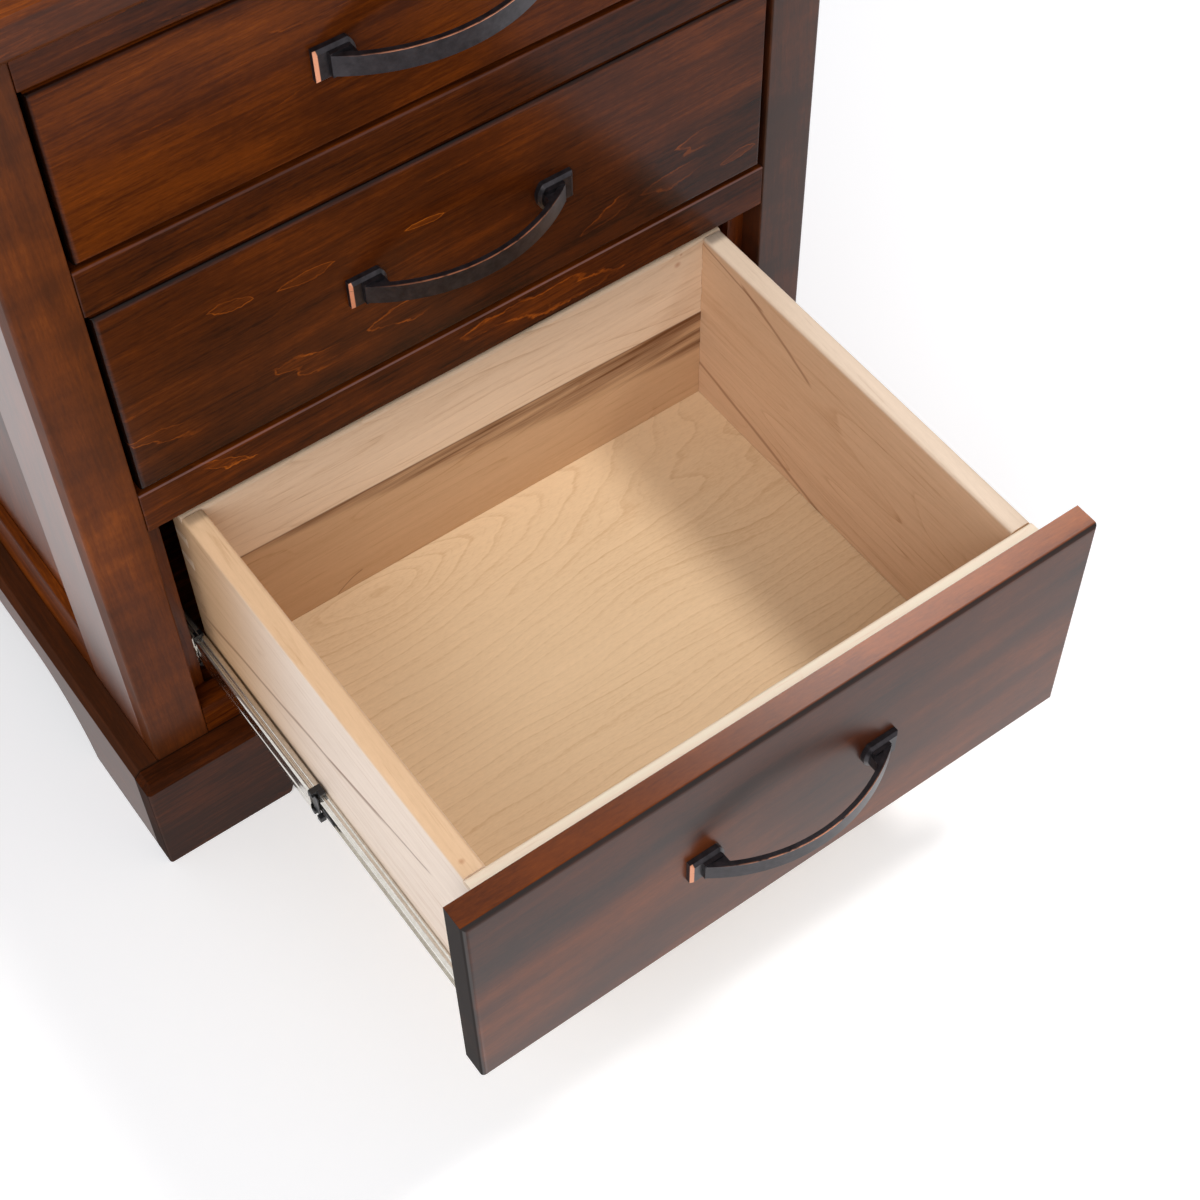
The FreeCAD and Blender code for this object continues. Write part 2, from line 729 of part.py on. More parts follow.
make_top_board()
make_face_frame()
make_side_frame("left")
make_side_frame("right")
make_back_and_floor()
make_slide_posts()
make_base()
shut = as_size(0)
make_drawer("bottom", bottom_opening_low, s.bottom_opening, tails=7, opened=slide_travel)
make_drawer("middle", middle_opening_low, s.middle_opening, tails=5, opened=shut)
make_drawer("top", top_opening_low, s.top_opening, tails=4, opened=shut)
write_parts()
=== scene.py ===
import json
from math import pi, radians

import bmesh
import bpy
import numpy as np
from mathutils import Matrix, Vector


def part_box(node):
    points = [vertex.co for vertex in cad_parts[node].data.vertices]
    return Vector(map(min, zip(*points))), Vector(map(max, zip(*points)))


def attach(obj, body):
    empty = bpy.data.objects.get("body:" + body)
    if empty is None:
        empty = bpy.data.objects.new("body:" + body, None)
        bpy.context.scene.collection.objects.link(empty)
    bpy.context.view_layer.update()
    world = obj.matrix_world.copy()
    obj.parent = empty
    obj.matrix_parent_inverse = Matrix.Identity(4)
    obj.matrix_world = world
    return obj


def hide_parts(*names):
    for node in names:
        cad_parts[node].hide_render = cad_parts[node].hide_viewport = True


# Nightstand in stained maple with natural maple drawer boxes. Metres, in the frame of the
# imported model: X runs across, -Y is the front, +Z is up and the bottom drawer stands open.
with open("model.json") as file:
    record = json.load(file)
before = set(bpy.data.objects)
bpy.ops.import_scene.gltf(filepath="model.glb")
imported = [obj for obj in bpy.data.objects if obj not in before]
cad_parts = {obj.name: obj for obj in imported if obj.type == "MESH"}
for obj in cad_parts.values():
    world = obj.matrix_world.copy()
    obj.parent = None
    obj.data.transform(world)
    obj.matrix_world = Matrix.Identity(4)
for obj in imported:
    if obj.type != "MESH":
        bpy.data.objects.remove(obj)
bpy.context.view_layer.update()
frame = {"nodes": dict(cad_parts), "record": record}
bodies = frame["record"]["behaviour"]["bodies"]
body_of = {node: body for body, nodes in bodies.items() for node in nodes}

# Camera
# A long lens looks down on the front left corner, as the photograph does. Its place, turn and
# shift come from a least-squares fit of straight edges of the nightstand.
PHOTO_PIXELS = 1200
FOCAL_PIXELS = 2223.6
CENTRE_PIXEL = (638.2, 635.0)
SENSOR = 36.0
CAMERA_PLACE = (-0.4981, -1.2827, 1.4356)
CAMERA_DEGREES = (34.8814, 0.1686, -36.3654)
camera_data = bpy.data.cameras.new("camera")
camera_data.sensor_width = SENSOR
camera_data.lens = FOCAL_PIXELS * SENSOR / PHOTO_PIXELS
camera_data.shift_x = 0.5 - CENTRE_PIXEL[0] / PHOTO_PIXELS
camera_data.shift_y = CENTRE_PIXEL[1] / PHOTO_PIXELS - 0.5
camera = bpy.data.objects.new("camera", camera_data)
camera.location = CAMERA_PLACE
camera.rotation_euler = [radians(degrees) for degrees in CAMERA_DEGREES]
bpy.context.scene.collection.objects.link(camera)
bpy.context.scene.camera = camera
bpy.context.scene.view_settings.view_transform = "Standard"


# Room
# A white studio floor and a plain sky of soft light. A lamp high on the right gives the short
# shadow inside the drawer, a broad one stands on the left, and one behind only adds gloss.
def linear(red, green, blue):
    """A colour given as 0 to 255 on a screen, turned into the light it stands for: a straight
    line near black and a power of 2.4 above it."""
    share = np.array([red, green, blue]) / 255
    light = np.where(share < 0.04045, share / 12.92, ((share + 0.055) / 1.055) ** 2.4)
    return (*light.tolist(), 1.0)


class Value:
    """A socket of a node tree. Sums and products of these add the Math nodes they stand for."""

    def __init__(self, tree, socket=None):
        self.tree = tree
        self.socket = socket

    def add(self, kind, settings=None, inputs=None, output=0):
        """Makes a node of a type, gives it its settings and then its inputs, by name or number,
        and returns one of its outputs. The setting stops fills a ramp."""
        node = self.tree.nodes.new("ShaderNode" + kind)
        for name, setting in (settings or {}).items():
            if name == "stops":
                fill_ramp(node.color_ramp, setting)
            else:
                setattr(node, name, setting)
        for name, value in (inputs or {}).items():
            if isinstance(value, Value):
                self.tree.links.new(value.socket, node.inputs[name])
            else:
                node.inputs[name].default_value = value
        return Value(self.tree, node.outputs[output]) if node.outputs else None

    def math(self, operation, first, second=0.0):
        return self.add("Math", {"operation": operation}, {0: first, 1: second})

    def __add__(self, other):
        return self.math("ADD", self, other)

    def __sub__(self, other):
        return self.math("SUBTRACT", self, other)

    def __rsub__(self, other):
        return self.math("SUBTRACT", other, self)

    def __mul__(self, other):
        return self.math("MULTIPLY", self, other)

    def __abs__(self):
        return self.math("ABSOLUTE", self)

    def fraction(self):
        return self.math("FRACT", self)

    def root(self):
        return self.math("SQRT", self)

    def part(self, axis):
        """One coordinate of this vector, by its letter."""
        return self.add("SeparateXYZ", inputs={0: self}, output="xyz".index(axis))

    def between(self, low, high):
        """0 below low and 1 above high, with a smooth step from one to the other. High may be
        the smaller of the two, which turns the step round."""
        return self.add("MapRange", {"interpolation_type": "SMOOTHSTEP"},
                        {"Value": self, "From Min": low, "From Max": high})

    def scaled(self, *factors):
        return self.add("VectorMath", {"operation": "MULTIPLY"}, {0: self, 1: factors})

    def noise(self, factors, detail=2.0, roughness=0.5, seed=0.0):
        """Smooth noise from 0 to 1 on this vector, its three axes multiplied by the factors."""
        return self.add("TexNoise", {"noise_dimensions": "4D"},
                        {"Vector": self.scaled(*factors), "W": seed, "Scale": 1.0,
                         "Detail": detail, "Roughness": roughness})

    def mixed(self, other, share):
        """This colour with a share of another one mixed in."""
        return self.add("Mix", {"data_type": "RGBA"}, {0: share, 6: self, 7: other}, output=2)


def fill_ramp(ramp, stops):
    """Gives a ramp its stops, each a place from 0 to 1 and a colour."""
    ramp.elements.remove(ramp.elements[1])
    ramp.elements[0].position, ramp.elements[0].color = stops[0]
    for place, colour in stops[1:]:
        ramp.elements.new(place).color = colour


def new_material(name):
    """An empty material and a Value on its tree, from which its nodes are added."""
    material = bpy.data.materials.new(name)
    material.use_nodes = True
    material.node_tree.nodes.clear()
    return material, Value(material.node_tree)


def finish_surface(start, colour, bump=None, **sockets):
    """Ends a material in a Principled shader, with a bump where a height in metres is given."""
    values = {"Base Color": colour}
    for name, value in sockets.items():
        values[name.replace("_", " ").title().replace("Ior", "IOR")] = value
    if bump is not None:
        values["Normal"] = start.add("Bump", inputs={"Strength": 1.0, "Distance": 1.0,
                                                     "Height": bump})
    shader = start.add("BsdfPrincipled", inputs=values)
    start.add("OutputMaterial", inputs={"Surface": shader})


def shown_white(start):
    """1 for what is seen, mirrored or seen through something, and 0 for the light it sheds."""
    seen = start.add("LightPath", output="Is Camera Ray")
    mirrored = start.add("LightPath", output="Is Glossy Ray")
    through = start.add("LightPath", output="Is Transmission Ray")
    return seen + mirrored + through


FLOOR_COLOUR = linear(244, 244, 246)
FLOOR_GLOW = 0.31
FAR_GLOW = 1.0
FAR_FROM, FAR_TO = 1.0, 3.2
FLOOR_HALF = 9.0

floor_material, start = new_material("studio_floor")
around = start.add("VectorMath", {"operation": "LENGTH"},
                   {0: start.add("TexCoord", output="Object")}, "Value")
far = around.between(FAR_FROM, FAR_TO) * FAR_GLOW + 1.0
finish_surface(start, FLOOR_COLOUR, roughness=1.0, specular_ior_level=0.0,
               emission_color=shown_white(start) * far, emission_strength=FLOOR_GLOW)
floor_mesh = bpy.data.meshes.new("studio_floor")
corners = np.array([[-1, -1, 0], [1, -1, 0], [1, 1, 0], [-1, 1, 0]]) * FLOOR_HALF
floor_mesh.from_pydata(corners.tolist(), [], [[0, 1, 2, 3]])
floor_mesh.materials.append(floor_material)
floor = bpy.data.objects.new("studio_floor", floor_mesh)
bpy.context.scene.collection.objects.link(floor)

SKY_COLOUR = (0.90, 0.94, 1.0, 1.0)
SKY_STRENGTH = 0.40
LAMP_CENTRE = (0.0, -0.5, 0.3)
world = bpy.data.worlds.new("studio_sky")
world.use_nodes = True
world.node_tree.nodes.clear()
start = Value(world.node_tree)
plain = start.add("Background", inputs={"Color": SKY_COLOUR, "Strength": SKY_STRENGTH})
white = start.add("Background", inputs={"Color": (1.0, 1.0, 1.0, 1.0), "Strength": 1.0})
sky = start.add("MixShader", inputs={0: shown_white(start), 1: plain, 2: white})
start.add("OutputWorld", inputs={"Surface": sky})
bpy.context.scene.world = world


def add_lamp(name, direction, distance, size, level, colour):
    """A square soft lamp in a direction from the open drawer, turned towards the origin. Level
    is the light that a white face turned to it gives back, and the power for it is pi squared
    times the level times the distance squared."""
    towards = np.array(direction) / np.linalg.norm(direction)
    data = bpy.data.lights.new(name, "AREA")
    data.shape = "SQUARE"
    data.size = size
    data.energy = level * (pi * distance) ** 2
    data.color = colour
    lamp = bpy.data.objects.new(name, data)
    lamp.location = LAMP_CENTRE + towards * distance
    lamp.rotation_mode = "QUATERNION"
    lamp.rotation_quaternion = lamp.location.to_track_quat("Z", "Y")
    bpy.context.scene.collection.objects.link(lamp)
    return lamp


key_lamp = add_lamp("key_lamp", (0.585, -0.14, 0.86), 2.6, 0.46, 0.46, (1.0, 0.97, 0.93))
key_lamp.visible_glossy = False
add_lamp("left_lamp", (-0.70, -0.42, 0.58), 3.2, 2.6, 0.60, (1.0, 0.99, 0.97))
gloss_lamp = add_lamp("gloss_lamp", (0.44, 0.39, 0.81), 3.0, 1.1, 0.45, (1.0, 0.92, 0.88))
gloss_lamp.visible_diffuse = False


# Wood of the case
# Hard maple boards under a brown stain and a satin lacquer. The stain sinks in unevenly, so
# the boards are mottled, and thin orange flame lines show where the growth rings come out.
TURNS = {"x": (0.0, 0.0, 0.0), "y": (0.0, 0.0, radians(-90)), "z": (0.0, radians(90), 0.0)}


def grain_space(start, grain, seed, lean):
    """Object coordinates turned so that x runs along the grain, leaned a little, and moved on
    by the seed so that each board shows another part of the tree."""
    place = start.add("TexCoord", output="Object")
    turned = start.add("Mapping", inputs={"Vector": place, "Rotation": TURNS[grain]})
    return start.add("Mapping", inputs={"Vector": turned, "Rotation": (0.0, lean, lean),
                                        "Location": (seed * 0.731, seed * 0.377, seed * 0.213)})


def facing(start, axis):
    """The part of the surface's direction that points along an axis, from -1 to 1."""
    return start.add("TexCoord", output="Normal").part(axis)


STAIN = (
    (0.00, linear(20, 8, 4)),
    (0.25, linear(46, 19, 7)),
    (0.45, linear(80, 35, 9)),
    (0.62, linear(112, 52, 11)),
    (0.80, linear(152, 76, 17)),
    (1.00, linear(212, 124, 38)),
)
RED_BROWN = linear(98, 58, 36)
PAINTED_ARRIS_SHEEN = linear(150, 112, 106)
SHADED_RIM_WIDTH = 0.003
SHARP_ANGLE = radians(35)
FLAT_ANGLE = radians(1)


def leaf_lines(along, across, ragged, leaves):
    """1 on a thin line round each long leaf, a little inside it and 0 elsewhere. For each leaf,
    u and v are the offsets from its centre over half its length and half its width, and the
    line is where |v| + u^2, with noise added, is one. An open leaf fades out towards its end,
    1 or -1."""
    lines = 0.0
    for (centre_along, centre_across), half_length, half_width, lean, opened in leaves:
        offset = along - centre_along
        u = offset * (1 / half_length)
        v = (across - centre_across - offset * lean) * (1 / half_width)
        reach = abs(v) + u * u + ragged
        line = reach.between(0.74, 0.93) * reach.between(1.12, 0.98) + reach.between(1.0, 0.6) * 0.3
        if opened:
            line = line * (u * opened).between(0.8, -0.1)
        lines = line + lines
    return lines


def stained_maple(name, grain, seed, tone, flame, blotch, curl=0.1, red=0.0, gloss=0.5,
                  edge=None, satin=0.3, fine=1.0, broad=0.42, bloom=0.0, upper=0.12, dry=0.6,
                  slant=0.93, arris=0.0, seam=None, leaves=(), shade=()):
    """Stained maple. Tone is its mean brightness, flame the strength of the orange lines, blotch
    that of the stain's dark patches, curl that of the bars across the grain, fine and broad
    those of the thin and wide bands along it, and red how far it leans to a red brown. Gloss
    and satin are the lacquer's weight and roughness, and bloom the shine of the wood under it.
    Edge is a board's box, near whose sides faces that don't look up are painted darker, as shade
    on the rounded edges. Upper is how much paler faces that look up more than the slant are
    painted, as light from above, and a negative upper paints them darker; dry is how much of their
    lacquer is missing, on a board with an edge only towards its left end. Arris is the strength of
    a painted sheen on rounded top edges, a pale mauve standing in for the lacquer's reflection,
    and seam the y of a dark joint across the board. Leaves are flame lines at given places in x
    and z, and shade is a height, the depth under it and the strength of a darker part."""
    material, start = new_material(name)
    place = grain_space(start, grain, seed, 0.03)
    spot = start.add("TexCoord", output="Object")
    ragged = place.noise((70.0, 420.0, 420.0), 3.0, 0.65)
    rings = (place.noise((4.6, 27.0, 27.0), 1.0, 0.4) * 8.0 + ragged * 0.42).fraction()
    line = rings.between(0.08, 0.02) * rings.between(0.0, 0.02)
    line = line * place.noise((34.0, 160.0, 160.0), 1.0, 0.5, 17.0).between(0.34, 0.54)
    shown = place.noise((6.0, 24.0, 24.0), 1.0, 0.5, 3.0).between(0.56, 0.64)
    patches = place.noise((8.0, 15.0, 15.0), 3.0, 0.55, 5.0) - 0.5
    bands = place.noise((3.0, 32.0, 32.0), 2.0, 0.5, 7.0) - 0.5
    bars = place.noise((44.0, 13.0, 13.0), 3.0, 0.6, 13.0) - 0.5
    streaks = place.noise((9.0, 220.0, 220.0), 3.0, 0.65, 9.0) - 0.5
    hairs = place.noise((20.0, 430.0, 430.0), 2.0, 0.6, 15.0)
    flecks = place.noise((160.0, 700.0, 700.0), 2.0, 0.6, 11.0) - 0.5
    threads = (hairs - 0.5) * 0.5 - hairs.between(0.54, 0.70) * 0.16
    level = (patches * (2.0 * blotch) + bands * broad + bars * curl
             + (streaks * 0.55 + threads) * fine + flecks * 0.22
             + (rings - 0.5) * shown * (-0.14 * flame) + line * shown * (0.26 * flame) + tone)
    if leaves:
        slow = place.noise((40.0, 90.0, 90.0), 1.0, 0.5, 19.0) - 0.5
        quick = place.noise((150.0, 420.0, 420.0), 2.0, 0.6, 23.0) - 0.5
        wobble = slow * 1.3 + quick * 0.5
        drift = place.noise((14.0, 50.0, 50.0), 2.0, 0.6, 25.0) - 0.5
        jag = place.noise((120.0, 60.0, 60.0), 2.0, 0.7, 27.0) - 0.5
        strength = place.noise((20.0, 120.0, 120.0), 1.0, 0.5, 29.0).between(0.3, 0.6) * 0.2 + 0.16
        lines = leaf_lines(spot.part("x") + drift * 0.045,
                           spot.part("z") + drift * 0.014 + jag * 0.0045, wobble, leaves)
        level = level + lines * strength
    if shade:
        top, depth, strength = shade
        level = level - (spot.part("z") + bands * 0.06).between(top, top - depth) * strength
    if seam:
        level = level - abs(spot.part("y") - seam).between(0.0014, 0.0006) * 0.4
    ends = abs(facing(start, grain)).between(0.75, 0.9)
    level = level - ends * 0.12
    # Faces that look up more than the slant are painted paler by upper, as light from above, or
    # darker where upper is below 0.
    upward = facing(start, "z").between(slant, slant + 0.06)
    level = level + upward * upper
    # Near the board's sides, faces that don't look up are painted darker: painted shade on the
    # round-overs.
    if edge:
        low, high = edge
        rim = spot.part("x").between(low.x + SHADED_RIM_WIDTH, low.x)
        rim = rim + spot.part("x").between(high.x - SHADED_RIM_WIDTH, high.x)
        rim = rim + spot.part("z").between(low.z + SHADED_RIM_WIDTH, low.z)
        rim = rim + spot.part("z").between(high.z - SHADED_RIM_WIDTH, high.z)
        level = level - rim * facing(start, "z").between(0.99, 0.9) * 0.4
    colour = level.add("ValToRGB", {"stops": STAIN}, {0: level})
    if red:
        colour = colour.mixed(RED_BROWN, red)
    # A pale mauve painted on rounded top edges: a painted sheen standing in for the lacquer's
    # reflection.
    if arris:
        arris_sheen_mask = facing(start, "z").between(0.15, 0.5) * facing(start, "z").between(0.995, 0.9)
        colour = colour.mixed(PAINTED_ARRIS_SHEEN, arris_sheen_mask * arris)
    matt = upward * (dry * gloss)
    if edge:
        matt = matt * spot.part("x").between(0.06, -0.14)
    matt = matt + ends * (0.7 * gloss)
    height = (streaks * 0.5 + flecks) * 0.00004
    finish_surface(start, colour, height, roughness=0.5, specular_ior_level=bloom,
                   coat_weight=matt * -1 + gloss, coat_roughness=satin)
    return material


def finish_piece(name, mesh, material, body, nodes, ease=0.0):
    """Links a mesh that rides on a body and stands for nodes. Edges over the sharp angle stay
    sharp and are rounded by the ease, in metres."""
    mesh.shade_smooth()
    mesh.set_sharp_from_angle(angle=SHARP_ANGLE)
    mesh.materials.append(material)
    piece = bpy.data.objects.new(name, mesh)
    bpy.context.scene.collection.objects.link(piece)
    if ease:
        bevel = piece.modifiers.new("ease", "BEVEL")
        bevel.width = ease
        bevel.segments = 2
        bevel.limit_method = "ANGLE"
        bevel.angle_limit = SHARP_ANGLE
        bevel.harden_normals = True
        bevel.miter_outer = "MITER_ARC"
    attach(piece, body)
    if nodes:
        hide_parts(*nodes)
    return piece


def eased(node, material, ease=0.0006):
    """A copy of a node's solid that stands for it. Its triangles are joined into flat faces and
    its sharp edges are rounded a little, as sanding leaves them."""
    source = frame["nodes"][node].data
    places = np.empty(len(source.vertices) * 3)
    source.vertices.foreach_get("co", places)
    corners = np.empty(len(source.loops), int)
    source.loops.foreach_get("vertex_index", corners)
    mesh = bpy.data.meshes.new(node + "_skin")
    mesh.from_pydata(places.reshape(-1, 3).tolist(), [], corners.reshape(-1, 3).tolist())
    work = bmesh.new()
    work.from_mesh(mesh)
    bmesh.ops.remove_doubles(work, verts=work.verts, dist=2e-6)
    bmesh.ops.dissolve_limit(work, angle_limit=FLAT_ANGLE, verts=work.verts, edges=work.edges)
    bmesh.ops.recalc_face_normals(work, faces=work.faces)
    work.to_mesh(mesh)
    work.free()
    return finish_piece(mesh.name, mesh, material, body_of[node], [node], ease)


# Top board
# One glued-up maple board that overhangs the front and both sides.
eased("top_board", stained_maple("top_wood", "x", 1.0, 0.44, 0.8, 0.2))

# Face frame
# Two full-height stiles and four rails, glued edge to edge and flush at the front.
LOWER_RAIL_LEAVES = (((0.060, 0.3490), 0.067, 0.0105, -0.10, 0),
                     ((-0.195, 0.3570), 0.030, 0.0040, -0.35, -1))
STILES = (("left", 2.0, 0.54, 0.3, 0.0), ("right", 3.0, 0.32, 0.1, 0.2))
for side, seed, tone, red, bloom in STILES:
    wood = stained_maple(f"face_stile_{side}_wood", "z", seed, tone, 0.1, 0.38, 0.45, red=red,
                         gloss=0.3, fine=0.6, bloom=bloom)
    eased(f"face_stile_{side}", wood)
# Columns: rail, tone, flame, gloss, and the strength of a painted sheen on the rail's rounded top
# edge, in place of the lacquer's reflection.
RAILS = (("bottom", 0.38, 0.6, 0.05, 0.0), ("lower", 0.42, 0.4, 0.3, 0.35),
         ("upper", 0.40, 0.2, 0.3, 0.1), ("top", 0.40, 0.6, 0.3, 0.1))
for number, (rail, tone, flame, gloss, arris) in enumerate(RAILS):
    wood = stained_maple(f"face_rail_{rail}_wood", "x", 4.0 + number, tone, flame, 0.22,
                         gloss=gloss, satin=0.2, arris=arris,
                         leaves=LOWER_RAIL_LEAVES if rail == "lower" else ())
    eased(f"face_rail_{rail}", wood, 0.0012)

# Side frames
# Each side is a frame of two stiles and two rails round a flat recessed panel.
for side, seed in (("left", 11.0), ("right", 15.0)):
    upright = stained_maple(f"side_{side}_stile_wood", "z", seed, 0.54, 0.3, 0.3, 0.2, red=0.12,
                            gloss=1.0, bloom=0.4)
    rail_wood = stained_maple(f"side_{side}_rail_wood", "y", seed + 1, 0.50, 0.4, 0.25, gloss=0.35)
    panel_wood = stained_maple(f"side_{side}_panel_wood", "z", seed + 2, 0.5, 0.7, 0.25,
                               gloss=0.92)
    eased(f"side_{side}_front_stile", upright)
    eased(f"side_{side}_rear_stile", upright)
    eased(f"side_{side}_top_rail", rail_wood)
    eased(f"side_{side}_bottom_rail", rail_wood)
    eased(f"side_{side}_panel", panel_wood)

# Base
# Four boards with bracket feet. The front one runs past the side boards.
# Upper paints the base's faces that look up more than the slant paler on the front board and darker
# on the side boards, as light and shade.
eased("base_front_board", stained_maple("base_front_wood", "x", 21.0, 0.25, 0.8, 0.2, red=0.1,
                                        gloss=0.35, upper=0.04, dry=0.9, slant=0.4, seam=-0.415))
for side, seed in (("left", 22.0), ("right", 23.0)):
    wood = stained_maple(f"base_{side}_wood", "y", seed, 0.34, 0.3, 0.2, red=0.3, gloss=0.68,
                         upper=-0.10, dry=0.9, slant=0.4, seam=-0.415)
    eased(f"base_{side}_board", wood)
eased("base_back_board", stained_maple("base_back_wood", "x", 24.0, 0.34, 0.3, 0.2))
eased("base_glue_blocks", stained_maple("glue_block_wood", "z", 25.0, 0.4, 0.2, 0.2))

# Back, floor and slide posts
# A thin back and a plywood floor, stained where they show, and posts behind the stiles.
eased("back_panel", stained_maple("back_panel_wood", "z", 31.0, 0.45, 0.6, 0.25), 0.0)
eased("back_rails", stained_maple("back_rail_wood", "x", 32.0, 0.42, 0.4, 0.2))
eased("case_floor", stained_maple("case_floor_wood", "x", 33.0, 0.5, 0.2, 0.2))
eased("floor_cleats", stained_maple("cleat_wood", "y", 34.0, 0.4, 0.2, 0.2))
eased("slide_posts", stained_maple("post_wood", "z", 35.0, 0.58, 0.3, 0.25))

# Drawer fronts
# Three flat maple fronts with all four front edges rounded over. These are painted darker, as
# shade.
MIDDLE_LEAVES = (
    ((-0.105, 0.4757), 0.0150, 0.0045, -0.05, 0), ((-0.161, 0.4800), 0.0160, 0.0040, -0.18, 0),
    ((-0.108, 0.4045), 0.0300, 0.0075, -0.30, 1), ((-0.042, 0.4040), 0.0300, 0.0085, -0.06, 1),
    ((-0.205, 0.4052), 0.0330, 0.0055, -0.25, 1), ((0.120, 0.3990), 0.0260, 0.0070, 0.30, 1),
    ((-0.026, 0.4686), 0.0140, 0.0035, -0.12, 0), ((0.176, 0.4010), 0.0320, 0.0080, 0.05, 1),
    ((0.188, 0.4200), 0.0320, 0.0070, 0.00, 1), ((0.222, 0.3900), 0.0130, 0.0030, 0.10, 0),
)
# The fronts' faces that look up are painted paler by upper, as light from above.
FRONTS = {
    "bottom": stained_maple("bottom_front_wood", "x", 41.0, 0.38, 0.1, 0.28, gloss=0.7, fine=0.25,
                            broad=0.75, upper=0.26, dry=0.7, shade=(0.262, 0.035, -0.12),
                            edge=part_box("drawer_bottom_front")),
    "middle": stained_maple("middle_front_wood", "x", 42.0, 0.48, 0.3, 0.22, gloss=0.35, satin=0.2,
                            fine=0.8, leaves=MIDDLE_LEAVES, shade=(0.452, 0.030, 0.13),
                            edge=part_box("drawer_middle_front")),
    "top": stained_maple("top_front_wood", "x", 43.0, 0.52, 0.4, 0.22, gloss=0.2, satin=0.2,
                         fine=0.8, edge=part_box("drawer_top_front")),
}
for name, wood in FRONTS.items():
    eased(f"drawer_{name}_front", wood)


# Drawer boxes
# Natural maple boards joined with through dovetails under a thin clear lacquer. Each board
# has its own warm or pinkish colour, a fine straight grain and now and then a brown streak.
HEARTWOOD = linear(112, 70, 38)
GLUE_LINE = linear(104, 64, 36)
STREAK_BROWN = linear(128, 82, 52)
KNOT_BROWN = linear(176, 104, 56)


def shades(colour):
    """A ramp from the dark of a wood's late growth through its own colour to its palest."""
    middle = np.array(linear(*colour)[:3])
    dark = middle * (0.50, 0.40, 0.30)
    soft = middle * (0.86, 0.80, 0.74)
    pale = np.minimum(middle * 1.12 + 0.04, 1.0)
    return tuple((place, (*shade.tolist(), 1.0))
                 for place, shade in ((0.0, dark), (0.3, soft), (0.55, middle), (1.0, pale)))


def streak(along, across, waver, mark):
    """1 on a streak that runs from one point to another of a board's face, with a bow in the
    middle, and thins out to both ends."""
    (along_first, across_first), (along_last, across_last), half_width, bow = mark
    share = (along - along_first) * (1 / (along_last - along_first))
    middle = share * (across_last - across_first) + share * (1 - share) * (4 * bow) + across_first
    off = abs(across - middle + waver)
    ends = share.between(0.0, 0.08) * share.between(1.0, 0.92)
    return off.between(half_width, half_width * 0.15) * ends


def natural_maple(name, grain, seed, colour, top, figure=1.0, marks=(), knots=(), glued=None,
                  rear=None):
    """Clear-lacquered maple of a colour, with another for its upper edge. Figure is the strength
    of its lines, marks are brown streaks and knots brown spots on it. Glued is a second board
    below a glue line: its colour, the height of the line and its slope. Rear is a darker, warmer
    colour painted towards its rear end as shade and brown light from the case beside it, with
    the y where that starts and is full."""
    material, start = new_material(name)
    place = grain_space(start, grain, seed, 0.02)
    spot = start.add("TexCoord", output="Object")
    ragged = place.noise((40.0, 240.0, 240.0), 2.0, 0.6) * 0.10
    rings = (place.noise((2.4, 15.0, 15.0), 1.0, 0.4) * 14.0 + ragged).fraction()
    shown = place.noise((4.0, 16.0, 16.0), 1.0, 0.5, 3.0).between(0.42, 0.62)
    line = rings.between(0.14, 0.0) * rings.between(0.0, 0.03)
    bands = place.noise((1.2, 22.0, 22.0), 2.0, 0.5, 5.0) - 0.5
    streaks = place.noise((6.0, 200.0, 200.0), 3.0, 0.6, 7.0) - 0.5
    hairs = place.noise((16.0, 420.0, 420.0), 2.0, 0.6, 15.0)
    flecks = place.noise((150.0, 800.0, 800.0), 2.0, 0.5, 9.0) - 0.5
    level = (bands * 0.40 + streaks * 0.64 + flecks * 0.30 - line * shown * (0.26 * figure)
             - hairs.between(0.54, 0.72) * 0.20 + (rings - 0.5) * shown * (0.07 * figure) + 0.59)
    level = level - abs(facing(start, grain)).between(0.75, 0.9) * 0.22
    wood = level.add("ValToRGB", {"stops": shades(colour)}, {0: level})
    along = spot.part(grain)
    height = spot.part("z")
    waver = place.noise((14.0, 60.0, 60.0), 2.0, 0.5, 21.0) * 0.005 - 0.0025
    # Towards the rear the colour is painted darker and warmer, as shade and brown light from the
    # case.
    if rear:
        shaded_rear_colour, first, last = rear
        shaded_rear = level.add("ValToRGB", {"stops": shades(shaded_rear_colour)}, {0: level})
        wood = wood.mixed(shaded_rear, spot.part("y").between(first, last))
    if glued:
        lower_colour, seam, slope = glued
        depth = along * slope - height + seam + waver * 0.15
        lower = level.add("ValToRGB", {"stops": shades(lower_colour)}, {0: level})
        wood = wood.mixed(lower, depth.between(-0.0003, 0.0003))
        spread = along.between(-0.25, 0.24) * 0.036 + 0.002 + waver * 1.5
        heart = depth.between(-0.0004, 0.0006) * (spread - depth).between(-0.004, 0.006)
        wood = wood.mixed(HEARTWOOD, heart * (streaks * 3.2 + 0.52))
        joint = depth.between(-0.0010, -0.0002) * depth.between(0.0014, 0.0006)
        wood = wood.mixed(GLUE_LINE, joint * 0.55)
    upper = level.add("ValToRGB", {"stops": shades(top)}, {0: level})
    wood = wood.mixed(upper, facing(start, "z").between(0.3, 0.8))
    for mark in marks:
        wood = wood.mixed(STREAK_BROWN, streak(along, height, waver, mark) * 0.62)
    for centre, radius in knots:
        gap = spot.add("VectorMath", {"operation": "DISTANCE"}, {0: spot, 1: centre}, "Value")
        gap = gap + waver * 0.5
        wood = wood.mixed(KNOT_BROWN, gap.between(radius, radius * 0.1) * 0.5)
    relief = (streaks * 0.5 + flecks) * 0.00003
    finish_surface(start, wood, relief, roughness=0.55, specular_ior_level=0.3,
                   coat_weight=0.15, coat_roughness=0.3)
    return material


